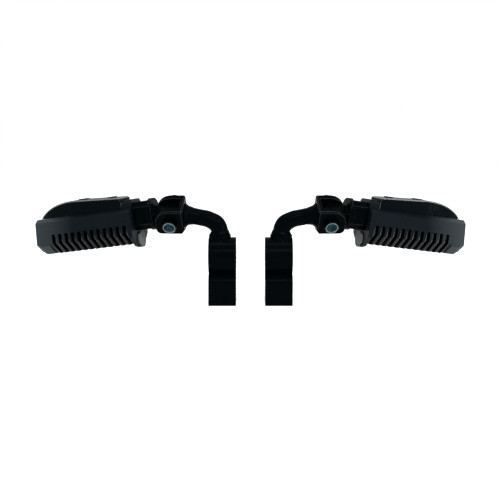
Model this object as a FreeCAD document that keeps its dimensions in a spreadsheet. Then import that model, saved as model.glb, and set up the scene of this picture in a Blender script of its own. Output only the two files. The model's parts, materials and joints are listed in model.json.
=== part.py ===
import FreeCAD, Part
import math
import os
import re

import Sketcher

# Pair of folding motorcycle footpegs on bent arms, each arm welded to a split tube clamp.
# The origin is on the axis of the guard tube, midway between the clamps. X runs along the tube,
# Y away from the front and Z up. The right-hand side is modelled and the left is its mirror image.

os.makedirs("parts", exist_ok=True)
doc = FreeCAD.newDocument("footpegs")
sheet = doc.addObject("Spreadsheet::Sheet", "Size")

# Driving dimensions, in millimetres and degrees
SIZES = [
    # Tube clamp
    ("tube_radius", 12.7),
    ("clamp_radius", 18),
    ("clamp_width", 26),
    ("clamp_place", 26.6),
    ("pinch_depth", 17.5),
    ("pinch_round", 8.5),
    ("pinch_top", 16),
    ("pinch_bottom", 45),
    ("pinch_gap", 2),
    ("split_angle", 48),
    ("split_gap", 0.3),
    ("hook_thick", 2.2),
    ("hook_reach", 1.8),
    ("boss_height", 20.5),
    ("boss_radius", 10.5),
    # Clamp screws
    ("clamp_screw_radius", 3),
    ("clamp_head_radius", 5),
    ("clamp_head_height", 6),
    ("clamp_screw_high", 25),
    ("clamp_screw_pitch", 11.5),
    ("clamp_screw_reach", 11),
    ("clamp_key", 5),
    ("key_depth", 3),
    ("fit_gap", 0.1),
    ("head_gap", 0.3),
    # Bent arm
    ("arm_place", 29),
    ("arm_radius", 8),
    ("arm_height", 38.5),
    ("arm_bend", 17),
    ("arm_sweep", 6),
    ("flare_radius", 12),
    ("flare_length", 8),
    ("flare_steep", 3),
    ("weld_toe", 0.2),
    ("weld_heel", 1.3),
    ("foot_radius", 10),
    ("foot_length", 4.5),
    # Fork block
    ("pivot_reach", 46),
    ("fork_turn", 37),
    ("fork_back", 13),
    ("fork_round", 15),
    ("fork_low", 13.5),
    ("fork_thick", 25.5),
    ("fork_slot", 13.4),
    ("fork_web", 3.5),
    ("fork_edge", 1.2),
    ("fork_corner", 5),
    ("peg_drop", 10),
    # Pivot bolt, nut, washer and sleeve
    ("bolt_radius", 4),
    ("hex_across", 13),
    ("bolt_head", 5.5),
    ("nut_height", 8),
    ("nut_flats", 6),
    ("washer_radius", 8),
    ("washer_thick", 1.6),
    ("bolt_tail", 2),
    ("bush_radius", 6),
    ("run_gap", 0.05),
    # Forged stem
    ("tongue_thick", 13),
    ("tongue_radius", 9.2),
    ("flange_face", 15.6),
    ("flange_thick", 4.5),
    ("flange_radius", 15.3),
    ("grip_rise", 3.6),
    ("neck_side", 27),
    ("neck_bevel", 5),
    ("neck_end", 34),
    ("core_width", 20),
    ("core_height", 14),
    ("core_end", 121),
    # Rubber grip
    ("rubber_end", 130),
    ("band_half", 22),
    ("band_top", 5.5),
    ("band_low", 15.5),
    ("shoulder_half", 17),
    ("shoulder_top", 8.8),
    ("nose_half", 8),
    ("nose_low", 26.4),
    ("nose_round", 5),
    ("band_round", 4),
    ("lip", 2.4),
    ("inner_wall", 4),
    ("outer_wall", 13),
    ("outer_round", 5),
    ("collar_length", 11),
    ("collar_half", 14.5),
    ("collar_top", 15.4),
    ("collar_round", 2.5),
    ("ridge_half", 11.5),
    ("rib_count", 12),
    ("rib_pitch", 6.55),
    ("groove_width", 2.5),
    ("groove_depth", 3.6),
    ("groove_top", 6.7),
    ("lug_radius", 7.8),
    ("lug_place", 22.5),
    ("lug_reach", 2),
    # Metal blade on top of the grip
    ("blade_half", 15),
    ("blade_top", 19.8),
    ("blade_crown", 22.8),
    ("blade_low", 9),
    ("blade_wall", 3),
    ("blade_nose", 40),
    ("blade_tip", 3),
    ("blade_back", 2),
    ("blade_edge", 1.2),
    ("blade_gap", 0.3),
    # Screws of the blade and of the grip's end
    ("small_screw_radius", 2.5),
    ("small_head_radius", 4.8),
    ("sunk_head", 2.6),
    ("small_screw_depth", 9),
    ("small_key", 3),
    ("blade_screw_in", 12),
    ("blade_screw_pitch", 26),
    ("end_disc_radius", 6.2),
    ("end_disc_thick", 2),
    ("end_head_height", 3),
    ("end_crown_radius", 2.9),
    ("end_screw_depth", 16),
]
for row, (alias, value) in enumerate(SIZES, start=1):
    sheet.set(f"A{row}", alias)
    sheet.set(f"B{row}", str(value))
    sheet.setAlias(f"B{row}", alias)
doc.recompute()


# Helpers: a size is written as a plain sum of names, and bound to the sheet as an expression

def tie(text):
    return re.sub(r"[a-z]+(?:_[a-z]+)+|lip", lambda found: "Size." + found.group(), str(text))


def size(text):
    sheet.set("D1", "=" + str(text))
    sheet.recompute()
    return float(sheet.D1)


def bind(thing, **sizes):
    for name, text in sizes.items():
        thing.setExpression(name, tie(text))
    return thing


def put(thing, x, y, z):
    for letter, text in zip("xyz", (x, y, z)):
        thing.setExpression(f"Placement.Base.{letter}", tie(text))
    return thing


def box(name, x0, x1, y0, y1, z0, z1):
    thing = doc.addObject("Part::Box", name)
    bind(thing, Length=f"({x1}) - ({x0})", Width=f"({y1}) - ({y0})", Height=f"({z1}) - ({z0})")
    return put(thing, x0, y0, z0)


TURNS = {
    "X": FreeCAD.Rotation(FreeCAD.Vector(0, 1, 0), 90),
    "Y": FreeCAD.Rotation(FreeCAD.Vector(1, 0, 0), -90),
    "Z": FreeCAD.Rotation(),
}


def stand(kind, name, axis, start, x, y, z):
    thing = doc.addObject(kind, name)
    thing.Placement = FreeCAD.Placement(FreeCAD.Vector(), TURNS[axis])
    place = {"X": x, "Y": y, "Z": z}
    place[axis] = start
    return put(thing, place["X"], place["Y"], place["Z"])


def rod(name, axis, radius, start, end, x="0", y="0", z="0"):
    thing = stand("Part::Cylinder", name, axis, start, x, y, z)
    return bind(thing, Radius=radius, Height=f"({end}) - ({start})")


def cone(name, axis, first_radius, last_radius, start, end, x="0", y="0", z="0"):
    thing = stand("Part::Cone", name, axis, start, x, y, z)
    return bind(thing, Radius1=first_radius, Radius2=last_radius, Height=f"({end}) - ({start})")


def hexagon(name, axis, across, start, end, x="0", y="0", z="0"):
    thing = stand("Part::Prism", name, axis, start, x, y, z)
    thing.Polygon = 6
    return bind(thing, Circumradius=f"({across}) / 2 / cos(30 deg)", Height=f"({end}) - ({start})")


def fuse(name, *solids):
    thing = doc.addObject("Part::MultiFuse", name)
    thing.Shapes = list(solids)
    thing.Refine = True
    return thing


def common(name, first, second):
    thing = doc.addObject("Part::Common", name)
    thing.Base = first
    thing.Tool = second
    thing.Refine = True
    return thing


def cut(name, base, *tools):
    thing = doc.addObject("Part::Cut", name)
    thing.Base = base
    thing.Tool = tools[0] if len(tools) == 1 else fuse(name + "_tools", *tools)
    thing.Refine = True
    return thing


def eased(kind, name, base, amount, choose):
    # A fillet or chamfer on the chosen edges
    doc.recompute()
    thing = doc.addObject(kind, name)
    thing.Base = base
    reach = size(amount)
    thing.Edges = [(number, reach, reach) for number, edge in enumerate(base.Shape.Edges, start=1) if choose(edge)]
    return thing


def straight(edge):
    return edge.Curve.TypeId == "Part::GeomLine"


def parallel(edge, direction):
    return straight(edge) and abs(edge.Curve.Direction.dot(direction)) > 0.999


def outline(sketch, points, arcs=()):
    # Closed outline through points; arcs gives the sides that are arcs, with each centre's x
    count = len(points)
    corners = [FreeCAD.Vector(size(x), size(y), 0) for x, y in points]
    centres = dict(arcs)
    first = sketch.GeometryCount
    clockwise = set()
    for index, start in enumerate(corners):
        end = corners[(index + 1) % count]
        if index not in centres:
            sketch.addGeometry(Part.LineSegment(start, end), False)
            continue
        middle, turn = arc_middle(start, end, size(centres[index]))
        if turn < 0:
            clockwise.add(index)
            start, end = end, start
        sketch.addGeometry(Part.Arc(start, middle, end), False)
    for index in range(count):
        after = (index + 1) % count
        end_of = 1 if index in clockwise else 2
        start_of = 2 if after in clockwise else 1
        sketch.addConstraint(Sketcher.Constraint("Coincident", first + index, end_of, first + after, start_of))
    for index in range(count):
        corner = 2 if index in clockwise else 1
        for kind, text, value in zip(("DistanceX", "DistanceY"), points[index], corners[index]):
            number = sketch.addConstraint(Sketcher.Constraint(kind, -1, 1, first + index, corner, value))
            sketch.setExpression(f"Constraints[{number}]", tie(text))
        if index in centres:
            value = size(centres[index])
            number = sketch.addConstraint(Sketcher.Constraint("DistanceX", -1, 1, first + index, 3, value))
            sketch.setExpression(f"Constraints[{number}]", tie(centres[index]))


def arc_middle(start, end, centre_x):
    # Point halfway round the arc about a centre at centre_x, equally far from both ends, and the arc's turn
    half = (start + end) * 0.5
    run = end - start
    centre_y = half.y - (centre_x - half.x) * run.x / run.y
    centre = FreeCAD.Vector(centre_x, centre_y, 0)
    middle = centre + (half - centre).normalize() * (start - centre).Length
    return middle, (start - centre).cross(end - centre).z


def free_sketch(name, rotation):
    sketch = doc.addObject("Sketcher::SketchObject", name)
    sketch.Placement = FreeCAD.Placement(FreeCAD.Vector(), rotation)
    return sketch


def body_sketch(body, role, name):
    plane = [feature for feature in body.Origin.OriginFeatures if feature.Role == role][0]
    sketch = body.newObject("Sketcher::SketchObject", name)
    sketch.AttachmentSupport = [(plane, "")]
    sketch.MapMode = "FlatFace"
    return sketch


# Frames of the right-hand side: the arm is swept back, the fork is rolled about the arm, and the peg
# drops from the fork's line about the pivot until its flange meets the stop

UP = FreeCAD.Vector(0, 0, 1)
OUT = FreeCAD.Vector(1, 0, 0)
BACK = FreeCAD.Vector(0, 1, 0)
sweep = FreeCAD.Rotation(UP, size("arm_sweep"))
roll = FreeCAD.Rotation(OUT, 90 + size("fork_turn"))
drop = FreeCAD.Rotation(UP, -size("peg_drop"))
clamp_frame = FreeCAD.Placement(OUT * size("clamp_place"), FreeCAD.Rotation())
arm_frame = FreeCAD.Placement(OUT * size("arm_place"), sweep)
pivot = arm_frame.multVec(FreeCAD.Vector(size("pivot_reach"), 0, size("arm_height")))
fork_frame = FreeCAD.Placement(pivot, sweep.multiply(roll))
grip_turn = sweep.multiply(roll).multiply(drop).multiply(roll.inverted())
grip_frame = FreeCAD.Placement(pivot + grip_turn.multVec(UP * size("grip_rise")), grip_turn)
pieces = []


def keep(thing, label, frame):
    doc.recompute()
    thing.Placement = frame
    thing.Label = "right_" + label
    pieces.append((label, thing))


# Tube clamp: a ring with a square pinch block below it, split into a front body and a rear cap.
# The cap's upper end hooks into the body, and two screws from behind draw the pinch block together.

def clamp_blank(name):
    ring = rod(name + "_ring", "X", "clamp_radius", "-clamp_width / 2", "clamp_width / 2")
    block = box(name + "_block", "-clamp_width / 2", "clamp_width / 2", "-pinch_depth", "pinch_depth",
                "-pinch_bottom", "-pinch_top")
    rounded = eased("Part::Fillet", name + "_rounded", block, "pinch_round",
                    lambda edge: parallel(edge, OUT) and edge.CenterOfMass.z > size("-pinch_bottom / 2"))
    return fuse(name, ring, rounded)


def rear_share(name, front, spread, slack):
    # The space behind the pinch gap and up to the radial split, with the hook beyond it
    half = box(name + "_half", "-clamp_width", "clamp_width", front, "2 * pinch_depth", "-2 * pinch_bottom", "0")
    wedge = doc.addObject("Part::Cylinder", name + "_wedge")
    wedge.Placement = FreeCAD.Placement(FreeCAD.Vector(), FreeCAD.Rotation(BACK, UP, OUT, "ZXY"))
    bind(wedge, Radius="2 * clamp_radius", Height="2 * clamp_width", Angle=f"split_angle + {spread}")
    put(wedge, "-clamp_width", "0", "0")
    inner = f"((tube_radius + clamp_radius - hook_thick) / 2 - {slack})"
    angle = "split_angle * 1 deg"
    hook = doc.addObject("Part::Box", name + "_hook")
    hook.Placement = FreeCAD.Placement(FreeCAD.Vector(), FreeCAD.Rotation(OUT, size("split_angle")))
    bind(hook, Length="2 * clamp_width", Width=f"hook_thick + 2 * {slack}", Height=f"2 * hook_reach + {slack}")
    put(hook, "-clamp_width", f"{inner} * cos({angle}) + hook_reach * sin({angle})",
        f"{inner} * sin({angle}) - hook_reach * cos({angle})")
    return fuse(name, half, wedge, hook)


def screw_rods(name, radius, start, end):
    places = ("-clamp_screw_high", "-clamp_screw_high - clamp_screw_pitch")
    return [rod(f"{name}_{place}", "Y", radius, start, end, z=text) for place, text in enumerate(places)]


head_seat = "pinch_depth - clamp_head_height"
tube_bore = rod("tube_bore", "X", "tube_radius", "-clamp_width", "clamp_width")
spread = "asin(split_gap / clamp_radius) / 1 deg"
boss = rod("boss", "Z", "boss_radius", "0", "boss_height", x="arm_place - clamp_place")
front_body = cut("clamp_front", fuse("clamp_with_boss", clamp_blank("front_blank"), boss), tube_bore,
                 rear_share("front_relief", "-pinch_gap / 2", spread, "split_gap / 2"),
                 *screw_rods("front_hole", "clamp_screw_radius + fit_gap", "-clamp_screw_reach - pinch_gap", "0"))
keep(front_body, "clamp_body", clamp_frame)

rear_bore = rod("rear_bore", "X", "tube_radius", "-clamp_width", "clamp_width")
rear_cap = cut("clamp_rear", common("rear_part", clamp_blank("rear_blank"),
                                    rear_share("rear_space", "pinch_gap / 2", "0", "0")),
               rear_bore,
               *screw_rods("rear_hole", "clamp_screw_radius + fit_gap", "0", "pinch_depth"),
               *screw_rods("rear_sink", "clamp_head_radius + head_gap", head_seat, "2 * pinch_depth"))
keep(rear_cap, "clamp_cap", clamp_frame)

screw_keys = [hexagon(f"clamp_key_{number}", "Y", "clamp_key", "pinch_depth - key_depth", "pinch_depth + 1", z=place)
              for number, place in enumerate(("-clamp_screw_high", "-clamp_screw_high - clamp_screw_pitch"))]
clamp_screws = cut("clamp_screw_pair",
                   fuse("clamp_screw_solids",
                        *screw_rods("screw_shank", "clamp_screw_radius", "-clamp_screw_reach", head_seat),
                        *screw_rods("screw_head", "clamp_head_radius", head_seat, "pinch_depth")),
                   *screw_keys)
keep(clamp_screws, "clamp_screws", clamp_frame)

# Bent arm: a round bar up from the boss, round the bend and out to the fork, with a weld flare at
# each end in two tapers, shallow then steep

arm_body = doc.addObject("PartDesign::Body", "arm_bar")
bar_section = body_sketch(arm_body, "XY_Plane", "bar_section")
bar_section.addGeometry(Part.Circle(FreeCAD.Vector(), UP, size("arm_radius")), False)
bar_section.addConstraint(Sketcher.Constraint("Coincident", 0, 3, -1, 1))
bar_section.addConstraint(Sketcher.Constraint("Radius", 0, size("arm_radius")))
bar_section.setExpression("Constraints[1]", tie("arm_radius"))
bar_section.setExpression("AttachmentOffset.Base.z", tie("boss_height"))
bar_path = body_sketch(arm_body, "XZ_Plane", "bar_path")
foot = FreeCAD.Vector(0, size("boss_height"), 0)
bend_start = FreeCAD.Vector(0, size("arm_height - arm_bend"), 0)
bend_end = FreeCAD.Vector(size("arm_bend"), size("arm_height"), 0)
bar_stop = "pivot_reach - fork_back"
bar_end = FreeCAD.Vector(size(bar_stop), size("arm_height"), 0)
bend_circle = Part.Circle(FreeCAD.Vector(bend_end.x, bend_start.y, 0), UP, size("arm_bend"))
bar_path.addGeometry(Part.LineSegment(foot, bend_start), False)
bar_path.addGeometry(Part.ArcOfCircle(bend_circle, math.pi / 2, math.pi), False)
bar_path.addGeometry(Part.LineSegment(bend_end, bar_end), False)
bar_path.addConstraint(Sketcher.Constraint("Coincident", 0, 2, 1, 2))
bar_path.addConstraint(Sketcher.Constraint("Coincident", 1, 1, 2, 1))
path_points = [
    (0, 1, "0", "boss_height"),
    (0, 2, "0", "arm_height - arm_bend"),
    (2, 1, "arm_bend", "arm_height"),
    (2, 2, bar_stop, "arm_height"),
]
for curve, point, x, y in path_points:
    for kind, text in (("DistanceX", x), ("DistanceY", y)):
        number = bar_path.addConstraint(Sketcher.Constraint(kind, -1, 1, curve, point, size(text)))
        bar_path.setExpression(f"Constraints[{number}]", tie(text))
number = bar_path.addConstraint(Sketcher.Constraint("DistanceX", -1, 1, 1, 3, size("arm_bend")))
bar_path.setExpression(f"Constraints[{number}]", tie("arm_bend"))
doc.recompute()
bar = arm_body.newObject("PartDesign::AdditivePipe", "bar")
bar.Profile = bar_section
bar.Spine = (bar_path, [])
doc.recompute()
arm_toe = "arm_radius + weld_toe"
arm_heel = "arm_radius + weld_heel"
flares = [
    cone("fork_flare_toe", "X", arm_toe, arm_heel, f"{bar_stop} - flare_length", f"{bar_stop} - flare_steep",
         z="arm_height"),
    cone("fork_flare_heel", "X", arm_heel, "flare_radius", f"{bar_stop} - flare_steep", bar_stop, z="arm_height"),
    cone("foot_flare", "Z", "foot_radius", arm_toe, "boss_height", "boss_height + foot_length"),
]
keep(fuse("arm_solid", arm_body, *flares), "arm", arm_frame)

# Fork: a square block rolled about the arm, slotted for the tongue and rounded about the pivot.
# The lower corners stay square to the peg, as the stop that its flange rests on.
# In this frame X runs outwards, Z along the pivot bolt to its head, and Y is where the peg folds to.

fork_rear_block = box("fork_rear_block", "-fork_back", "0", "-fork_low", "fork_round",
                      "-fork_thick / 2", "fork_thick / 2")
fork_rear = eased("Part::Chamfer", "fork_rear", fork_rear_block, "fork_edge",
                  lambda edge: parallel(edge, OUT) or edge.CenterOfMass.x < size("-fork_back / 2"))
fork_eye_disc = rod("fork_eye_disc", "Z", "fork_round", "-fork_thick / 2", "fork_thick / 2")
fork_eye = eased("Part::Chamfer", "fork_eye", fork_eye_disc, "fork_edge", lambda edge: not straight(edge))
fork_upper = box("fork_upper", "-fork_back / 2", "2 * fork_round", "-fork_low / 2", "2 * fork_round",
                 "-fork_thick", "fork_thick")
fork_eye_trimmed = common("fork_eye_trimmed", fork_eye, fork_upper)
fork_stop = doc.addObject("Part::Box", "fork_stop")
fork_stop.Placement = FreeCAD.Placement(FreeCAD.Vector(), drop)
bind(fork_stop, Length="flange_face", Width="2 * fork_low", Height="fork_thick")
put(fork_stop, "-2 * fork_low * sin(peg_drop * 1 deg)", "-2 * fork_low * cos(peg_drop * 1 deg)", "-fork_thick / 2")
fork_limit = box("fork_limit", "0", "2 * fork_round", "-fork_low", "fork_round", "-fork_thick", "fork_thick")
fork_corner = eased("Part::Fillet", "fork_corner_round", common("fork_corner_block", fork_stop, fork_limit),
                    "fork_corner", lambda edge: parallel(edge, UP) and edge.CenterOfMass.x > size("fork_round / 2")
                    and edge.CenterOfMass.y < size("-fork_low / 2"))
fork_corner_soft = eased("Part::Chamfer", "fork_corner_soft", fork_corner, "fork_edge",
                         lambda edge: parallel(edge, OUT) and edge.CenterOfMass.y < size("-fork_low / 2"))
fork_solid = fuse("fork_solid", fork_rear, fork_eye_trimmed, fork_corner_soft)
fork_gap = box("fork_gap", "fork_web - fork_back", "2 * fork_round", "-2 * fork_low", "2 * fork_round",
               "-fork_slot / 2", "fork_slot / 2")
fork_hole = rod("fork_hole", "Z", "bolt_radius + fit_gap", "-fork_thick", "fork_thick")
keep(cut("fork_block", fork_solid, fork_gap, fork_hole), "clevis", fork_frame)

# Pivot hardware: hex bolt from the lower front, sleeve in the slot, washer and lock nut behind

nut_seat = "-fork_thick / 2 - washer_thick"
bolt = fuse("bolt_solid",
            hexagon("bolt_hex", "Z", "hex_across", "fork_thick / 2", "fork_thick / 2 + bolt_head"),
            rod("bolt_shank", "Z", "bolt_radius", f"{nut_seat} - nut_height - bolt_tail", "fork_thick / 2"))
keep(bolt, "pivot_bolt", fork_frame)
washer = cut("washer_solid", rod("washer_disc", "Z", "washer_radius", nut_seat, "-fork_thick / 2"),
             rod("washer_hole", "Z", "bolt_radius + fit_gap", "-fork_thick", "0"))
keep(washer, "pivot_washer", fork_frame)
nut_body = hexagon("nut_hex", "Z", "hex_across", f"{nut_seat} - nut_flats", nut_seat)
nut_crown = rod("nut_crown", "Z", "hex_across / 2 - run_gap", f"{nut_seat} - nut_height", nut_seat)
nut = cut("nut_solid", fuse("nut_blank", nut_body, nut_crown),
          rod("nut_hole", "Z", "bolt_radius + fit_gap", "-2 * fork_thick", "0"))
keep(nut, "pivot_nut", fork_frame)
bush = cut("bush_solid", rod("bush_outside", "Z", "bush_radius", "-fork_slot / 2", "fork_slot / 2"),
           rod("bush_hole", "Z", "bolt_radius + fit_gap", "-fork_slot", "fork_slot"))
keep(bush, "pivot_bush", fork_frame)

# Forged stem: tongue between the fork's cheeks, round flange, bevelled square neck, and the core bar
# that the rubber is pushed over. In the grip's frame X runs along the peg and Z up, from a point above
# the pivot, because the forging cranks up from its tongue.

tongue_roll = FreeCAD.Placement(UP * -size("grip_rise"), roll)
tongue_bar = box("tongue_bar", "0", "flange_face + flange_thick / 2", "-tongue_radius", "tongue_radius",
                 "-tongue_thick / 2", "tongue_thick / 2")
tongue_eye = rod("tongue_eye", "Z", "tongue_radius", "-tongue_thick / 2", "tongue_thick / 2")
tongue_hole = rod("tongue_hole", "Z", "bush_radius + run_gap", "-tongue_thick", "tongue_thick")
tongue = cut("tongue", fuse("tongue_blank", tongue_bar, tongue_eye), tongue_hole)
tongue.Placement = tongue_roll
flange = rod("flange", "X", "flange_radius", "flange_face", "flange_face + flange_thick")
neck_block = box("neck_block", "flange_face + flange_thick / 2", "neck_end",
                 "-neck_side / 2", "neck_side / 2", "-neck_side / 2", "neck_side / 2")
neck = eased("Part::Chamfer", "neck", neck_block, "neck_bevel", lambda edge: parallel(edge, OUT))
core = box("core", "neck_end - 1", "core_end", "-core_width / 2", "core_width / 2",
           "-core_height / 2", "core_height / 2")
blade_start = "neck_end + collar_length"
nose_start = "rubber_end - blade_back - blade_nose"
blade_rise = f"(blade_crown - blade_top) / ({nose_start} - ({blade_start}))"
blade_screw_ways = ("blade_screw_in", "blade_screw_in + blade_screw_pitch")
# Each screw's place along the peg, and the height of the blade's rising top at the low side of its head
blade_screw_places = [(f"{blade_start} + {way}", f"(blade_top + ({way} - small_head_radius) * {blade_rise})")
                      for way in blade_screw_ways]


def blade_screw_rods(name, radius, start, end):
    return [rod(f"{name}_{number}", "Z", radius, start, end, x=place)
            for number, (place, top) in enumerate(blade_screw_places)]


stem = cut("stem_solid", fuse("stem_blank", tongue, flange, neck, core),
           rod("end_hole", "X", "small_screw_radius + fit_gap", "core_end - end_screw_depth - 1", "core_end + 1"),
           *blade_screw_rods("core_hole", "small_screw_radius + fit_gap", "-core_height", "core_height"))
keep(stem, "stem", grip_frame)

# Rubber grip: a moulded section with a smooth band on each side, twelve grooves across the lower
# half, a thicker wall at each end, a collar and ridge under the blade, and a round nose inboard


def section(grow):
    # Half section points from the shoulder down to the nose, both sides; grow widens the lower part
    side = [
        ("shoulder_half", "shoulder_top"),
        ("band_half", "band_top"),
        ("band_half", f"-band_low - {grow}"),
        ("nose_half", f"-nose_low - {grow}"),
    ]
    return side + [(f"-({y})", z) for y, z in reversed(side)]


def prism(name, points, start, end, arcs=()):
    sketch = free_sketch(name + "_sketch", FreeCAD.Rotation(BACK, UP, OUT, "ZXY"))
    put(sketch, start, "0", "0")
    outline(sketch, points, arcs)
    thing = doc.addObject("Part::Extrusion", name)
    thing.Base = sketch
    thing.DirMode = "Custom"
    thing.Dir = OUT
    thing.Solid = True
    return bind(thing, LengthFwd=f"({end}) - ({start})")


def moulded(name, grow, start, end):
    blank = prism(name + "_blank", section(grow), start, end)
    low = eased("Part::Fillet", name + "_low", blank, "nose_round",
                lambda edge: parallel(edge, OUT) and edge.CenterOfMass.z < size("-band_low - 3 * lip"))
    return eased("Part::Fillet", name, low, "band_round",
                 lambda edge: parallel(edge, OUT) and abs(edge.CenterOfMass.y) > size("band_half - 1")
                 and edge.CenterOfMass.z < 0)


rib_bar = moulded("rib_bar", "0", "neck_end", "rubber_end")
inner_end = moulded("inner_end", "lip", "neck_end", "neck_end + inner_wall")
outer_end = moulded("outer_end", "lip", "rubber_end - outer_wall", "rubber_end")
outer_soft = eased("Part::Fillet", "outer_soft", outer_end, "outer_round",
                   lambda edge: edge.CenterOfMass.x > size("rubber_end - 1")
                   and edge.CenterOfMass.z < size("-nose_low - lip / 2"))
collar = box("collar_block", "neck_end", "neck_end + collar_length", "-collar_half", "collar_half",
             "-core_height / 2", "collar_top")
collar_soft = eased("Part::Fillet", "collar", collar, "collar_round",
                    lambda edge: parallel(edge, OUT) and edge.CenterOfMass.z > 0)
ridge = box("ridge", "neck_end", "rubber_end - blade_nose - blade_back - blade_gap",
            "-ridge_half", "ridge_half", "0", "blade_top - blade_wall - blade_gap")
lug = rod("lug", "X", "lug_radius", "neck_end - lug_reach", "neck_end + inner_wall", z="-lug_place")
first_groove = "neck_end + (rubber_end - outer_wall - neck_end + inner_wall - (rib_count - 1) * rib_pitch) / 2"
groove_points = [
    ("band_half - groove_depth", "-groove_top"),
    ("band_half - groove_depth", "-band_low + groove_depth / 2"),
    ("nose_half - groove_depth / 2", "-nose_low + groove_depth"),
]
groove_points += [(f"-({y})", z) for y, z in reversed(groove_points)]
groove_blocks = []
for number in range(int(size("rib_count"))):
    middle = f"({first_groove} + {number} * rib_pitch)"
    start = f"{middle} - groove_width / 2"
    end = f"{middle} + groove_width / 2"
    slab = box(f"groove_slab_{number}", start, end, "-2 * band_half", "2 * band_half", "-2 * nose_low", "-groove_top")
    web = prism(f"groove_web_{number}", groove_points, start, end)
    groove_blocks.append(cut(f"groove_{number}", slab, web))
core_room = box("core_room", "neck_end - lug_reach - 1", "core_end", "-core_width / 2 - fit_gap",
                "core_width / 2 + fit_gap", "-core_height / 2 - fit_gap", "core_height / 2 + fit_gap")
rubber = cut("rubber_solid",
             fuse("rubber_blank", rib_bar, inner_end, outer_soft, collar_soft, ridge, lug),
             core_room,
             rod("end_room", "X", "end_disc_radius + head_gap", "core_end - 1", "rubber_end + 1"),
             *blade_screw_rods("rubber_hole", "small_screw_radius + fit_gap", "0", "2 * blade_crown"),
             *groove_blocks)
keep(rubber, "rubber", grip_frame)

# Blade: a boat-shaped metal channel, flat on top, that falls and narrows to its outer tip

blade_tip_x = "rubber_end - blade_back"
profile_sketch = free_sketch("blade_profile_sketch", FreeCAD.Rotation(OUT, UP, BACK * -1, "ZXY"))
put(profile_sketch, "0", "blade_half", "0")
outline(profile_sketch,
        [(blade_start, "blade_low"), (blade_tip_x, "blade_low"), (blade_tip_x, "blade_low + blade_edge"),
         (nose_start, "blade_crown"), (blade_start, "blade_top")], {2: nose_start}.items())
blade_profile = doc.addObject("Part::Extrusion", "blade_profile")
blade_profile.Base = profile_sketch
blade_profile.DirMode = "Custom"
blade_profile.Dir = BACK * -1
blade_profile.Solid = True
bind(blade_profile, LengthFwd="2 * blade_half")
plan_sketch = free_sketch("blade_plan_sketch", FreeCAD.Rotation())
outline(plan_sketch,
        [(blade_start, "-blade_half"), (nose_start, "-blade_half"), (blade_tip_x, "-blade_tip"),
         (blade_tip_x, "blade_tip"), (nose_start, "blade_half"), (blade_start, "blade_half")],
        {1: nose_start, 3: nose_start}.items())
blade_plan = doc.addObject("Part::Extrusion", "blade_plan")
blade_plan.Base = plan_sketch
blade_plan.DirMode = "Custom"
blade_plan.Dir = UP
blade_plan.Solid = True
bind(blade_plan, LengthFwd="2 * blade_crown")
blade_channel = box("blade_channel", "neck_end", nose_start, "blade_wall - blade_half", "blade_half - blade_wall",
                    "0", "blade_top - blade_wall")
sinks = []
for number, (place, top) in enumerate(blade_screw_places):
    sinks.append(cone(f"blade_sink_{number}", "Z", "small_screw_radius", "small_head_radius + fit_gap",
                      f"{top} - sunk_head", top, x=place))
    sinks.append(rod(f"blade_room_{number}", "Z", "small_head_radius + fit_gap", top, "2 * blade_crown", x=place))
blade = cut("blade_solid", common("blade_blank", blade_profile, blade_plan), blade_channel,
            *blade_screw_rods("blade_hole", "small_screw_radius + fit_gap", "0", "2 * blade_crown"), *sinks)
keep(blade, "blade", grip_frame)

# Countersunk screws of the blade, and the disc and screw that hold the rubber on its core bar

sunk_parts = []
sunk_keys = []
for number, (place, top) in enumerate(blade_screw_places):
    sunk_parts.append(rod(f"sunk_shank_{number}", "Z", "small_screw_radius", "core_height / 2 - small_screw_depth",
                          f"{top} - sunk_head / 2", x=place))
    sunk_parts.append(cone(f"sunk_head_{number}", "Z", "small_screw_radius", "small_head_radius",
                           f"{top} - sunk_head", top, x=place))
    sunk_keys.append(hexagon(f"sunk_key_{number}", "Z", "small_key", f"{top} - sunk_head / 2", "2 * blade_crown",
                             x=place))
keep(cut("sunk_screws", fuse("sunk_screw_solids", *sunk_parts), *sunk_keys), "blade_screws", grip_frame)
end_disc = cut("end_disc_solid",
               rod("end_disc", "X", "end_disc_radius", "core_end", "core_end + end_disc_thick"),
               rod("end_disc_hole", "X", "small_screw_radius + fit_gap", "core_end - 1", "rubber_end"))
keep(end_disc, "end_washer", grip_frame)
end_seat = "core_end + end_disc_thick"
end_screw = cut("end_screw_solid",
                fuse("end_screw_blank",
                     rod("end_shank", "X", "small_screw_radius", "core_end - end_screw_depth", end_seat),
                     cone("end_head", "X", "small_head_radius", "end_crown_radius", end_seat,
                          f"{end_seat} + end_head_height")),
                hexagon("end_key", "X", "small_key", f"{end_seat} + end_head_height / 2", "rubber_end + 1"))
keep(end_screw, "end_screw", grip_frame)

# Left-hand side: each piece mirrored

kept = []
for label, thing in pieces:
    mirrored = doc.addObject("Part::Mirroring", "mirrored_" + label)
    mirrored.Source = thing
    mirrored.Normal = OUT
    mirrored.Label = "left_" + label
    kept += [thing, mirrored]
doc.recompute()

# Every object is sound before anything is written
for thing in doc.Objects:
    if "Invalid" in thing.State or "Error" in thing.State:
        raise RuntimeError(f"{thing.Label} failed: {thing.State}")
for thing in kept:
    if thing.Shape.isNull() or not thing.Shape.isValid() or not thing.Shape.Solids:
        raise RuntimeError(f"{thing.Label} is not a sound solid")
for thing in kept:
    thing.Shape.exportStep(f"parts/{thing.Label}.step")
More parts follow.
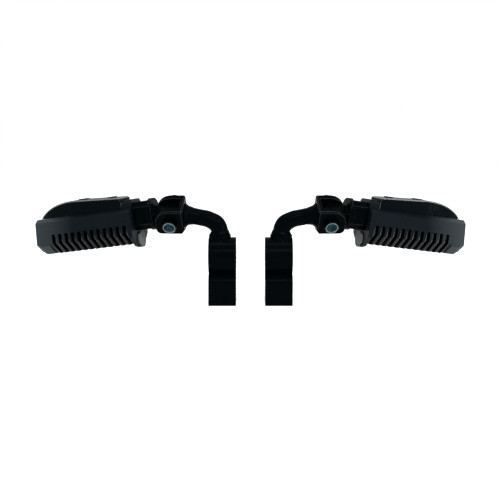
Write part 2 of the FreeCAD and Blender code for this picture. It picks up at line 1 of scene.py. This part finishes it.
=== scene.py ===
import bmesh
import bpy
import json
import math
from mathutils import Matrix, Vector

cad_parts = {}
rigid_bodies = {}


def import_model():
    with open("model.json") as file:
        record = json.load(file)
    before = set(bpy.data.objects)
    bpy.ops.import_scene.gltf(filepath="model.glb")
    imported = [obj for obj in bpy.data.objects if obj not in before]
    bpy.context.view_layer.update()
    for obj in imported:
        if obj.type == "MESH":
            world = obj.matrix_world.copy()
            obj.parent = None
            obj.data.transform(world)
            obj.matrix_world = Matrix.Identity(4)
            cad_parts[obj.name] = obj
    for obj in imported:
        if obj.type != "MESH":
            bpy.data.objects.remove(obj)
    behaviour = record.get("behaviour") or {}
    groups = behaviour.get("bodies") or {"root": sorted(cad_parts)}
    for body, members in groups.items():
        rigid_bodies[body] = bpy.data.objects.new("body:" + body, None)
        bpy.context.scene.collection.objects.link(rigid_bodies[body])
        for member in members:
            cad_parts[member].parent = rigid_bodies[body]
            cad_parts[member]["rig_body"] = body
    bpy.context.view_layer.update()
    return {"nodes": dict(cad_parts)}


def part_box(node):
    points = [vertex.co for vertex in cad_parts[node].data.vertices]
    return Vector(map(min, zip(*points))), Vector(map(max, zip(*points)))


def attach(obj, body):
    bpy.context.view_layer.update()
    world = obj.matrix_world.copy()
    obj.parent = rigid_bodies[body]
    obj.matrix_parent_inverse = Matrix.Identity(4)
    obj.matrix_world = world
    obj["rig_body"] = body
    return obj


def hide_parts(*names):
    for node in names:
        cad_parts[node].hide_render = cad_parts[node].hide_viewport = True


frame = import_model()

# Tube clamps: each is a front and a rear half machined from steel, the front one with the arm's boss welded
# on, powder-coated gloss black after the welding. The halves stay open at the radial split above the tube
# and at the pinch gap below it.

SIDES = ("left", "right")
MM = 0.001
WELD_REACH = 0.002 * MM
nodes = frame["nodes"]


def linear(code):
    # sRGB hex colour to linear, with alpha
    parts = [int(code[place:place + 2], 16) / 255 for place in (1, 3, 5)]
    return [part / 12.92 if part < 0.04045 else ((part + 0.055) / 1.055) ** 2.4 for part in parts] + [1]


def blank(name):
    # A material of that name with nothing in it yet, and its node tree
    material = bpy.data.materials.new(name)
    material.use_nodes = True
    material.node_tree.nodes.clear()
    return material, material.node_tree


def add(tree, kind, links=(), **settings):
    # One shader node: a setting is a socket's value by its name, or else a property of the node
    node = tree.nodes.new("ShaderNode" + kind)
    for name, value in settings.items():
        socket = name.replace("_", " ")
        if socket in node.inputs:
            node.inputs[socket].default_value = value
        else:
            setattr(node, name, value)
    for socket, source in dict(links).items():
        tree.links.new(source, node.inputs[socket])
    return node


def weld(node, flat=0.4):
    # The CAD solid's skin as a bmesh: its loose triangles welded, and made whole where they turn less than
    # that many degrees
    skin = bmesh.new()
    skin.from_mesh(nodes[node].data)
    bmesh.ops.remove_doubles(skin, verts=skin.verts, dist=WELD_REACH)
    bmesh.ops.dissolve_limit(skin, angle_limit=math.radians(flat), verts=skin.verts, edges=skin.edges)
    return skin


def ease(skin, width, turn=28, finish=-1):
    # Rounds every edge that turns more than that many degrees; its new faces take the finish of that number
    sharp = [edge for edge in skin.edges if edge.is_manifold and edge.calc_face_angle(0) > math.radians(turn)]
    bmesh.ops.bevel(skin, geom=sharp, offset=width, segments=2, affect="EDGES", profile=0.5, material=finish,
                    clamp_overlap=True)


def dress(skin, name, node, finishes):
    # Puts the mesh in an object that stands for the CAD node and rides on the node's body
    mesh = bpy.data.meshes.new(name)
    for face in skin.faces:
        face.smooth = True
    skin.to_mesh(mesh)
    skin.free()
    for finish in finishes:
        mesh.materials.append(finish)
    piece = bpy.data.objects.new(name, mesh)
    bpy.context.scene.collection.objects.link(piece)
    even = piece.modifiers.new("even", "WEIGHTED_NORMAL")
    even.keep_sharp = True
    even.weight = 100
    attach(piece, nodes[node]["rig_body"])
    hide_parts(node)
    return piece


# Gloss black polyester powder: near black, smooth and shiny, with a soft orange-peel ripple about 2 mm
# across and slightly duller patches of about 17 mm where the film is thin. The studio is white all round,
# so a deep black takes a very low specular level, here and on the rubber.
POWDER_BLACK = "#010304"
POWDER_WORN = "#030709"
POWDER_SPECULAR = 0.009
PEEL_PER_METRE = 450
PATCH_PER_METRE = 60
powder, tree = blank("gloss_black_powder_coat")
place = add(tree, "TexCoord").outputs["Object"]
patch = add(tree, "TexNoise", {"Vector": place}, Scale=PATCH_PER_METRE, Detail=3).outputs["Fac"]
peel = add(tree, "TexNoise", {"Vector": place}, Scale=PEEL_PER_METRE, Detail=2).outputs["Fac"]
colour = add(tree, "MixRGB", {"Fac": patch}, Color1=linear(POWDER_BLACK), Color2=linear(POWDER_WORN))
rough = add(tree, "MapRange", {"Value": patch}, To_Min=0.16, To_Max=0.26)
ripple = add(tree, "Bump", {"Height": peel}, Strength=0.12, Distance=0.05 * MM)
shader = add(tree, "BsdfPrincipled", {"Base Color": colour.outputs[0], "Roughness": rough.outputs[0],
                                      "Normal": ripple.outputs[0]}, Specular_IOR_Level=POWDER_SPECULAR)
add(tree, "OutputMaterial", {"Surface": shader.outputs[0]})

# The powder draws thin over sharp edges, which look greyer and catch the light; their grey is also a painted
# highlight along the edges
THIN_EDGE_GREY_AND_HIGHLIGHT = "#14191b"
THIN_SPECULAR = 0.2
thin_powder_and_highlight, tree = blank("powder_thin_on_edges_and_painted_highlight")
place = add(tree, "TexCoord").outputs["Object"]
peel = add(tree, "TexNoise", {"Vector": place}, Scale=PEEL_PER_METRE, Detail=2).outputs["Fac"]
rough = add(tree, "MapRange", {"Value": peel}, To_Min=0.12, To_Max=0.3)
shader = add(tree, "BsdfPrincipled", {"Roughness": rough.outputs[0]}, Base_Color=linear(THIN_EDGE_GREY_AND_HIGHLIGHT),
             Specular_IOR_Level=THIN_SPECULAR)
add(tree, "OutputMaterial", {"Surface": shader.outputs[0]})

EDGE_ROUND = 0.5 * MM
for side in SIDES:
    for part in ("clamp_body", "clamp_cap"):
        node = f"{side}_{part}"
        skin = weld(node)
        # The rounded edges take the grey of thin powder, which is also a painted highlight
        ease(skin, EDGE_ROUND, finish=1)
        dress(skin, f"{node}_coated", node, (powder, thin_powder_and_highlight))

# Clamp screws: two socket-head cap screws to a clamp. They go in from behind and draw the rear half up to
# the front one, with their heads sunk in the rear half.

# Black oxide on steel: a thin dark skin with a metal's sheen, mottled at 0.4 mm by the wax it is sealed in
OXIDE_BLACK = "#17181a"
OXIDE_GRAIN_PER_METRE = 2500
oxide, tree = blank("black_oxide_steel")
place = add(tree, "TexCoord").outputs["Object"]
grain = add(tree, "TexNoise", {"Vector": place}, Scale=OXIDE_GRAIN_PER_METRE, Detail=2).outputs["Fac"]
rough = add(tree, "MapRange", {"Value": grain}, To_Min=0.35, To_Max=0.55)
shader = add(tree, "BsdfPrincipled", {"Roughness": rough.outputs[0]}, Base_Color=linear(OXIDE_BLACK), Metallic=1)
add(tree, "OutputMaterial", {"Surface": shader.outputs[0]})

SCREW_EDGE_ROUND = 0.25 * MM
for side in SIDES:
    node = f"{side}_clamp_screws"
    skin = weld(node)
    ease(skin, SCREW_EDGE_ROUND)
    dress(skin, f"{node}_oxide", node, (oxide,))

# Bent arms: 16 mm round bar, cold bent, with a smoothed weld fillet at the clamp's boss and at the fork.
# Each arm is coated in one with its clamp.

BEND_SAG = 2.6 * MM
SAG_STARTS = (22, 36)
SAG_ENDS = (42, 60)
SAG_ABOVE = (20, 32)


def rise(value, start, end):
    # 0 before start, 1 past end and smooth between, all in millimetres
    share = min(max((value / MM - start) / (end - start), 0), 1)
    return share * share * (3 - 2 * share)


for side in SIDES:
    node = f"{side}_arm"
    skin = weld(node, flat=0.1)
    # The bar is bent round a former a little wider than its nominal bend
    for vert in skin.verts:
        out = abs(vert.co.x)
        vert.co.z -= BEND_SAG * rise(out, *SAG_STARTS) * (1 - rise(out, *SAG_ENDS)) * rise(vert.co.z, *SAG_ABOVE)
    dress(skin, f"{node}_coated", node, (powder,))

# Fork blocks: square steel blocks, slotted for the peg's tongue and drilled for its pivot bolt. They are
# welded to the outer ends of the arms and coated with them.

CORNER_CUT = 5 * MM
CORNER_SLOPE = 0.8
for side in SIDES:
    node = f"{side}_clevis"
    skin = weld(node)
    low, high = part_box(node)
    out = 1 if side == "right" else -1
    inboard = low.x if side == "right" else high.x
    # The block's lower inboard corner is cut off, as its other corners are
    cut = bmesh.ops.bisect_plane(skin, geom=skin.verts[:] + skin.edges[:] + skin.faces[:], clear_inner=True,
                                 plane_co=(inboard + out * CORNER_CUT, 0, low.z), plane_no=(out, 0, CORNER_SLOPE))
    rim = [part for part in cut["geom_cut"] if isinstance(part, bmesh.types.BMEdge)]
    bmesh.ops.holes_fill(skin, edges=rim)
    # The rounded edges take the grey of thin powder, which is also a painted highlight
    ease(skin, EDGE_ROUND, finish=1)
    dress(skin, f"{node}_coated", node, (powder, thin_powder_and_highlight))

# Pivots: a hex bolt with an 8 mm thread through each fork, held by a washer and a lock nut behind, all steel
# and zinc plated dark blue. The sleeve that the bolt clamps inside the tongue is out of sight.

# Blue zinc plate: a dark metal, teal where it is thick and cloudy nearly to black in blots of about 1.5 mm
ZINC_BLUE = "#19343b"
ZINC_CLOUD = "#050b0d"
CLOUD_PER_METRE = 640
zinc, tree = blank("blue_zinc_plate")
place = add(tree, "TexCoord").outputs["Object"]
cloud = add(tree, "TexNoise", {"Vector": place}, Scale=CLOUD_PER_METRE, Detail=4).outputs["Fac"]
blot = add(tree, "MapRange", {"Value": cloud}, From_Min=0.42, From_Max=0.58).outputs[0]
colour = add(tree, "MixRGB", {"Fac": blot}, Color1=linear(ZINC_BLUE), Color2=linear(ZINC_CLOUD))
rough = add(tree, "MapRange", {"Value": cloud}, To_Min=0.12, To_Max=0.3)
shader = add(tree, "BsdfPrincipled", {"Base Color": colour.outputs[0], "Roughness": rough.outputs[0]}, Metallic=1)
add(tree, "OutputMaterial", {"Surface": shader.outputs[0]})

# The rims are painted bright, partly burnished by spanners and wear and partly a painted highlight, with dark
# specks about 1 mm apart
ZINC_RIM_BURNISH_AND_HIGHLIGHT = "#8ea3a8"
SPECK_PER_METRE = 900
zinc_burnish_and_highlight, tree = blank("zinc_edge_burnish_and_painted_highlight")
place = add(tree, "TexCoord").outputs["Object"]
speck = add(tree, "TexNoise", {"Vector": place}, Scale=SPECK_PER_METRE, Detail=3).outputs["Fac"]
colour = add(tree, "MixRGB", {"Fac": speck}, Color1=linear(ZINC_RIM_BURNISH_AND_HIGHLIGHT), Color2=linear(ZINC_CLOUD))
shader = add(tree, "BsdfPrincipled", {"Base Color": colour.outputs[0]}, Roughness=0.2, Metallic=1)
add(tree, "OutputMaterial", {"Surface": shader.outputs[0]})

# Below the round land of a bolt's head the turned-down corners are painted dull and dark, a painted shade where
# they slope away from the light
ZINC_PAINTED_SHADE = "#080d0f"
shaded_zinc, tree = blank("zinc_plate_painted_shade")
place = add(tree, "TexCoord").outputs["Object"]
cloud = add(tree, "TexNoise", {"Vector": place}, Scale=CLOUD_PER_METRE, Detail=4).outputs["Fac"]
rough = add(tree, "MapRange", {"Value": cloud}, To_Min=0.3, To_Max=0.5)
shader = add(tree, "BsdfPrincipled", {"Roughness": rough.outputs[0]}, Base_Color=linear(ZINC_PAINTED_SHADE), Metallic=1)
add(tree, "OutputMaterial", {"Surface": shader.outputs[0]})

LAND_RADIUS = 5.5 * MM
LAND_RIM = 0.3 * MM
LAND_INSET = 0.2 * MM
TURNED_SLOPE = math.tan(math.radians(30))
FLAT_CUTS = 7


def turn_down(skin):
    # Turns the corners of a hexagon head down at 30 degrees, which leaves a round land; its rim takes a painted
    # highlight and the turned-down corners a painted shade
    land = max(skin.faces, key=lambda face: face.calc_area())
    axis, centre = land.normal.copy(), land.calc_center_median()
    bmesh.ops.bisect_edges(skin, edges=land.edges[:], cuts=FLAT_CUTS)
    for face in skin.faces:
        # Every face of the head first takes the painted shade of the dark zinc
        face.material_index = 2
    slope = bmesh.ops.inset_individual(skin, faces=[land], thickness=LAND_INSET)["faces"]
    land.material_index = 0
    inner = set(land.verts)
    for vert in {vert for face in slope for vert in face.verts}:
        arm = vert.co - centre
        arm -= axis * arm.dot(axis)
        if vert in inner:
            vert.co = centre + arm.normalized() * LAND_RADIUS
        else:
            vert.co -= axis * (arm.length - LAND_RADIUS) * TURNED_SLOPE
    skin.normal_update()
    # The land's rim takes the bright zinc, a painted highlight
    bmesh.ops.bevel(skin, geom=land.edges[:], offset=LAND_RIM, segments=2, affect="EDGES", profile=0.5, material=1)


for side in SIDES:
    for part in ("pivot_washer", "pivot_nut"):
        node = f"{side}_{part}"
        skin = weld(node)
        # The rounded rims take the bright zinc, partly burnish and partly a painted highlight
        ease(skin, EDGE_ROUND, finish=1)
        dress(skin, f"{node}_plated", node, (zinc, zinc_burnish_and_highlight))
    node = f"{side}_pivot_bolt"
    skin = weld(node)
    turn_down(skin)
    dress(skin, f"{node}_plated", node, (zinc, zinc_burnish_and_highlight, shaded_zinc))
    node = f"{side}_pivot_bush"
    dress(weld(node), f"{node}_turned", node, (zinc,))

# Stems: one steel forging each, with the tongue that goes in the fork, the round flange, the bevelled square
# neck and the core bar that the grip is pushed onto. They are coated gloss black like the forks.

for side in SIDES:
    node = f"{side}_stem"
    skin = weld(node)
    # The rounded edges take the grey of thin powder, which is also a painted highlight
    ease(skin, EDGE_ROUND, finish=1)
    dress(skin, f"{node}_coated", node, (powder, thin_powder_and_highlight))

# Rubber grips: black natural rubber, compression moulded and pushed over the core bar. Twelve grooves run
# across the lower half, between a thick outer wall and a round lug at the inboard end.

# Moulded rubber: matt black with a fine grain, and a faint grey bloom in patches of about 11 mm. The grain
# is drawn at 0.3 mm, coarser than the mould's, so that it shows.
RUBBER_BLACK = "#050b10"
RUBBER_BLOOM = "#0c1419"
RUBBER_SCUFF_AND_SHEEN = "#373e42"
RUBBER_SPECULAR = 0.05
BLOOM_PER_METRE = 90
RUBBER_GRAIN_PER_METRE = 3000
rubber, tree = blank("moulded_black_rubber")
place = add(tree, "TexCoord").outputs["Object"]
bloom = add(tree, "TexNoise", {"Vector": place}, Scale=BLOOM_PER_METRE, Detail=5).outputs["Fac"]
grain = add(tree, "TexNoise", {"Vector": place}, Scale=RUBBER_GRAIN_PER_METRE, Detail=2).outputs["Fac"]
colour = add(tree, "MixRGB", {"Fac": bloom}, Color1=linear(RUBBER_BLACK), Color2=linear(RUBBER_BLOOM))
# Each grip greys over its outer 38 mm, partly with scuffs and partly as a painted sheen of the side lamps on its
# outer end
SCUFF_AND_SHEEN_LENGTH = 38 * MM
SCUFF_AND_SHEEN_FULL = 2 * MM
far = add(tree, "Math", {0: add(tree, "SeparateXYZ", {0: place}).outputs[0]}, operation="ABSOLUTE").outputs[0]
reach = max(abs(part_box("right_rubber")[1].x), abs(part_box("left_rubber")[0].x))
scuff_and_sheen = add(tree, "MapRange", {"Value": far}, From_Min=reach - SCUFF_AND_SHEEN_LENGTH, From_Max=reach - SCUFF_AND_SHEEN_FULL).outputs[0]
colour = add(tree, "MixRGB", {"Fac": scuff_and_sheen, "Color1": colour.outputs[0]}, Color2=linear(RUBBER_SCUFF_AND_SHEEN))
fine = add(tree, "Bump", {"Height": grain}, Strength=0.3, Distance=0.05 * MM)
shader = add(tree, "BsdfPrincipled", {"Base Color": colour.outputs[0], "Normal": fine.outputs[0]}, Roughness=0.42,
             Specular_IOR_Level=RUBBER_SPECULAR)
add(tree, "OutputMaterial", {"Surface": shader.outputs[0]})

# The lug's face, where the folding grip meets the fork, is painted paler as painted light, and the rims of the ribs
# as a painted highlight, mottled about 1.5 mm apart
PAINTED_LIGHT_GREY = "#858a88"
PAINTED_LIGHT_DULL = "#4c5150"
LIT_MOTTLE_PER_METRE = 700
painted_light_rubber, tree = blank("rubber_painted_light")
place = add(tree, "TexCoord").outputs["Object"]
lit_mottle = add(tree, "TexNoise", {"Vector": place}, Scale=LIT_MOTTLE_PER_METRE, Detail=4).outputs["Fac"]
colour = add(tree, "MixRGB", {"Fac": lit_mottle}, Color1=linear(PAINTED_LIGHT_GREY), Color2=linear(PAINTED_LIGHT_DULL))
shader = add(tree, "BsdfPrincipled", {"Base Color": colour.outputs[0]}, Roughness=0.6,
             Specular_IOR_Level=RUBBER_SPECULAR)
add(tree, "OutputMaterial", {"Surface": shader.outputs[0]})

# The rubber deep in the grooves is painted dead black, a painted shade where the grooves hide it from the light
GROOVE_SHADE_BLACK = "#010203"
GROOVE_SPECULAR = 0.01
painted_groove_shade, tree = blank("rubber_painted_shade_in_grooves")
place = add(tree, "TexCoord").outputs["Object"]
grain = add(tree, "TexNoise", {"Vector": place}, Scale=RUBBER_GRAIN_PER_METRE, Detail=2).outputs["Fac"]
rough = add(tree, "MapRange", {"Value": grain}, To_Min=0.6, To_Max=0.8)
shader = add(tree, "BsdfPrincipled", {"Roughness": rough.outputs[0]}, Base_Color=linear(GROOVE_SHADE_BLACK),
             Specular_IOR_Level=GROOVE_SPECULAR)
add(tree, "OutputMaterial", {"Surface": shader.outputs[0]})

# The right grip's places: the middle of its lug's face, its own direction and distances along that. No face
# inside a groove spans more of that direction than GROOVE_SPAN. RIM_TURN is in radians.
LUG_FACE = Vector((103.2, 11, 15.4)) * MM
LUG_REACH = 9 * MM
LUG_SKIN = 1 * MM
GRIP_AXIS = Vector((0.968, 0.207, -0.139))
GROOVES_FROM = 108 * MM
GROOVES_TO = 183 * MM
GROOVE_SPAN = 2.75 * MM
GROOVE_DRAFT = 0.35 * MM
OUTER_WALL_FROM = 184.5 * MM
# The outer wall leans and lifts more the further it lies below the smooth band, which falls outwards
BAND_HEIGHT = 22.5 * MM
BAND_FALL = 0.1437
END_LEAN = 3 * MM
LEAN_DEPTHS = (0, 26)
END_LIFT = 2.4 * MM
LIFT_DEPTHS = (12, 26)
RIM_CUT = 0.9 * MM
RIM_TURN = 1
STEEP_TURN = 50
SQUARE_ON = 0.9
for side in SIDES:
    out = 1 if side == "right" else -1
    axis = Vector((GRIP_AXIS.x * out, GRIP_AXIS.y, GRIP_AXIS.z))
    disc = Vector((LUG_FACE.x * out, LUG_FACE.y, LUG_FACE.z))
    node = f"{side}_rubber"
    skin = weld(node)
    for face in skin.faces:
        centre = face.calc_center_median()
        along = [vert.co.dot(axis) for vert in face.verts]
        # Faces inside a groove take the painted shade of the dead black rubber
        if GROOVES_FROM < centre.dot(axis) < GROOVES_TO and max(along) - min(along) < GROOVE_SPAN:
            face.material_index = 2
        # The lug's face takes the painted light of the paler rubber
        elif (centre - disc).length < LUG_REACH and centre.dot(axis) < disc.dot(axis) + LUG_SKIN:
            face.material_index = 1
    # The grooves open wider than the mould's nominal slot
    walls = [face for face in skin.faces if face.material_index == 2 and abs(face.normal.dot(axis)) > SQUARE_ON]
    for way in (1, -1):
        wall = {vert for face in walls for vert in face.verts if face.normal.dot(axis) * way > 0}
        bmesh.ops.translate(skin, verts=list(wall), vec=axis * -way * GROOVE_DRAFT)
    # The thick outer wall stands a little steeper than the moulding's nominal end, and shorter below
    for vert in skin.verts:
        if vert.co.dot(axis) > OUTER_WALL_FROM:
            depth = disc.z - vert.co.z + BAND_FALL * (abs(disc.x) - abs(vert.co.x)) + BAND_HEIGHT
            vert.co.x += out * END_LEAN * rise(depth, *LEAN_DEPTHS)
            vert.co.z += END_LIFT * rise(depth, *LIFT_DEPTHS)
    # The ribs' outboard edges are bevelled in the paler rubber, a painted highlight
    rims = [edge for edge in skin.edges if edge.is_manifold and edge.calc_face_angle(0) > RIM_TURN
            and sorted(face.material_index for face in edge.link_faces) == [0, 2]
            and max(face.normal.dot(axis) for face in edge.link_faces) > SQUARE_ON]
    bmesh.ops.bevel(skin, geom=rims, offset=RIM_CUT, segments=1, affect="EDGES", profile=0.5, material=1)
    ease(skin, EDGE_ROUND, STEEP_TURN)
    dress(skin, f"{node}_grip", node, (rubber, painted_light_rubber, painted_groove_shade))

# Metal strips: pressed from sheet steel and coated gloss black, one along the top of each grip. Two screws
# hold each strip to the core bar, and its nose is bent down to the grip's outer end.

# Gloss black coating: smooth, with slightly duller patches of about 14 mm
STRIP_BLACK = "#040a0d"
STRIP_SPECULAR = 0.02
STRIP_PATCH_PER_METRE = 70
strip, tree = blank("gloss_black_strip")
place = add(tree, "TexCoord").outputs["Object"]
patch = add(tree, "TexNoise", {"Vector": place}, Scale=STRIP_PATCH_PER_METRE, Detail=3).outputs["Fac"]
rough = add(tree, "MapRange", {"Value": patch}, To_Min=0.28, To_Max=0.4)
shader = add(tree, "BsdfPrincipled", {"Roughness": rough.outputs[0]}, Base_Color=linear(STRIP_BLACK),
             Specular_IOR_Level=STRIP_SPECULAR)
add(tree, "OutputMaterial", {"Surface": shader.outputs[0]})

# The strip's upper edge is painted grey, unevenly over about 2 mm, a painted highlight where the edge catches the
# light
STRIP_EDGE_HIGHLIGHT_GREY = "#6a6e6d"
EDGE_HIGHLIGHT_MOTTLE_PER_METRE = 500
painted_strip_highlight, tree = blank("strip_edge_painted_highlight")
place = add(tree, "TexCoord").outputs["Object"]
lit_mottle = add(tree, "TexNoise", {"Vector": place}, Scale=EDGE_HIGHLIGHT_MOTTLE_PER_METRE, Detail=4).outputs["Fac"]
rough = add(tree, "MapRange", {"Value": lit_mottle}, To_Min=0.3, To_Max=0.6)
shader = add(tree, "BsdfPrincipled", {"Roughness": rough.outputs[0]}, Base_Color=linear(STRIP_EDGE_HIGHLIGHT_GREY), Metallic=0.6)
add(tree, "OutputMaterial", {"Surface": shader.outputs[0]})

NOSE_START = 142 * MM
NOSE_REACH = 58 * MM
NOSE_BULGE = 12 * MM
NOSE_TIP = 3.5 * MM
STRIP_RIM_CUT = 1.2 * MM
TOP_FACING = 0.45
SIDE_FACING = 0.35
for side in SIDES:
    node = f"{side}_blade"
    skin = weld(node, flat=0.1)
    # The nose is blunter than the bent blank, drawn out along the grip's own line
    for vert in skin.verts:
        far = min(max((abs(vert.co.x) - NOSE_START) / NOSE_REACH, 0), 1)
        slide = NOSE_BULGE * far * (1 - far) + NOSE_TIP * far * far
        vert.co += Vector((math.copysign(GRIP_AXIS.x, vert.co.x), GRIP_AXIS.y, GRIP_AXIS.z)) * slide
    skin.normal_update()
    # The strip's upper edges are bevelled in the grey of the painted highlight
    rim = [edge for edge in skin.edges if edge.is_manifold
           and max(face.normal.z for face in edge.link_faces) > TOP_FACING
           and abs(min(face.normal.z for face in edge.link_faces)) < SIDE_FACING]
    bmesh.ops.bevel(skin, geom=rim, offset=STRIP_RIM_CUT, segments=1, affect="EDGES", profile=0.5, material=1)
    ease(skin, EDGE_ROUND, STEEP_TURN)
    dress(skin, f"{node}_strip", node, (strip, painted_strip_highlight))

# Small fixings: two countersunk screws through each strip, and in the outer end of each grip a zinc-plated
# disc with a button-head screw, which keep the rubber on its core bar.

for side in SIDES:
    for part in ("blade_screws", "end_screw"):
        node = f"{side}_{part}"
        dress(weld(node), f"{node}_oxide", node, (oxide,))
    node = f"{side}_end_washer"
    dress(weld(node), f"{node}_plated", node, (zinc,))

# Studio: a sheet of white paper just below the clamps in a white room. A long narrow softbox hangs in front
# and another above, with a weak strip lamp on each side.

FLOOR_DROP = -45.3 * MM
FLOOR_HALF = 6
PAPER_WHITE = "#f4f4f4"
PAPER_GLOW = 0.85
ROOM_WHITE = "#ffffff"
ROOM_LIGHT = 0.45
ROOM_SEEN = 1


def seen(tree):
    # 1 for the camera's own rays and for those that a glossy or clear surface sends on, or else 0
    rays = add(tree, "LightPath")
    direct = add(tree, "Math", {0: rays.outputs["Is Camera Ray"], 1: rays.outputs["Is Glossy Ray"]},
                 operation="MAXIMUM")
    either = add(tree, "Math", {0: direct.outputs[0], 1: rays.outputs["Is Transmission Ray"]}, operation="MAXIMUM")
    return either.outputs[0]


floor_mesh = bpy.data.meshes.new("floor")
shape = bmesh.new()
bmesh.ops.create_grid(shape, x_segments=1, y_segments=1, size=FLOOR_HALF)
bmesh.ops.translate(shape, vec=(0, 0, FLOOR_DROP), verts=shape.verts)
shape.to_mesh(floor_mesh)
shape.free()
floor = bpy.data.objects.new("floor", floor_mesh)
bpy.context.scene.collection.objects.link(floor)
# White paper: matt, and lit through for the eye, while the light that it throws on the pegs stays plain
paper, tree = blank("white_paper")
matt = add(tree, "BsdfDiffuse", Color=linear(PAPER_WHITE))
glow = add(tree, "Emission", Strength=PAPER_GLOW)
both = add(tree, "AddShader", {0: matt.outputs[0], 1: glow.outputs[0]})
mixed = add(tree, "MixShader", {"Fac": seen(tree), 1: matt.outputs[0], 2: both.outputs[0]})
add(tree, "OutputMaterial", {"Surface": mixed.outputs[0]})
floor_mesh.materials.append(paper)

world = bpy.data.worlds.new("pale_studio")
world.use_nodes = True
bpy.context.scene.world = world
tree = world.node_tree
tree.nodes.clear()
room = add(tree, "Background", Color=linear(ROOM_WHITE), Strength=ROOM_LIGHT)
white = add(tree, "Background", Color=linear(ROOM_WHITE), Strength=ROOM_SEEN)
mixed = add(tree, "MixShader", {"Fac": seen(tree), 1: room.outputs[0], 2: white.outputs[0]})
add(tree, "OutputWorld", {"Surface": mixed.outputs[0]})

# Each lamp's name, place in metres, length and width in metres, and power in watts; all face the tube
LAMPS = [
    ("front_softbox", (0.35, -0.8, 0.8), 1.0, 0.12, 6),
    ("top_softbox", (0, -0.12, 1.0), 1.0, 0.12, 3.5),
    ("left_strip", (-0.8, -0.5, 0.35), 0.1, 0.5, 0.5),
    ("right_strip", (0.8, -0.5, 0.35), 0.1, 0.5, 2.6),
]
for name, spot, long, wide, power in LAMPS:
    lamp = bpy.data.lights.new(name, "AREA")
    lamp.shape = "RECTANGLE"
    lamp.size = long
    lamp.size_y = wide
    lamp.energy = power
    box = bpy.data.objects.new(name, lamp)
    box.location = spot
    box.rotation_euler = (-Vector(spot)).to_track_quat("-Z", "Y").to_euler()
    bpy.context.scene.collection.objects.link(box)

# Camera: straight in front of the pair, seven degrees above the guard tube and 800 mm away, with a view that
# is 475 mm wide there.

CAMERA_RISE = math.radians(7)
CAMERA_REACH = 0.8
HALF_VIEW = 0.2375
AIM = Vector((-0.5 * MM, 0, 5.7 * MM))
lens = bpy.data.cameras.new("camera")
lens.sensor_fit = "HORIZONTAL"
lens.angle = 2 * math.atan(HALF_VIEW / CAMERA_REACH)
camera = bpy.data.objects.new("camera", lens)
way = Vector((0, -math.cos(CAMERA_RISE), math.sin(CAMERA_RISE)))
camera.location = AIM + way * CAMERA_REACH
camera.rotation_euler = (-way).to_track_quat("-Z", "Y").to_euler()
bpy.context.scene.collection.objects.link(camera)
bpy.context.scene.camera = camera
bpy.context.scene.view_settings.view_transform = "Standard"
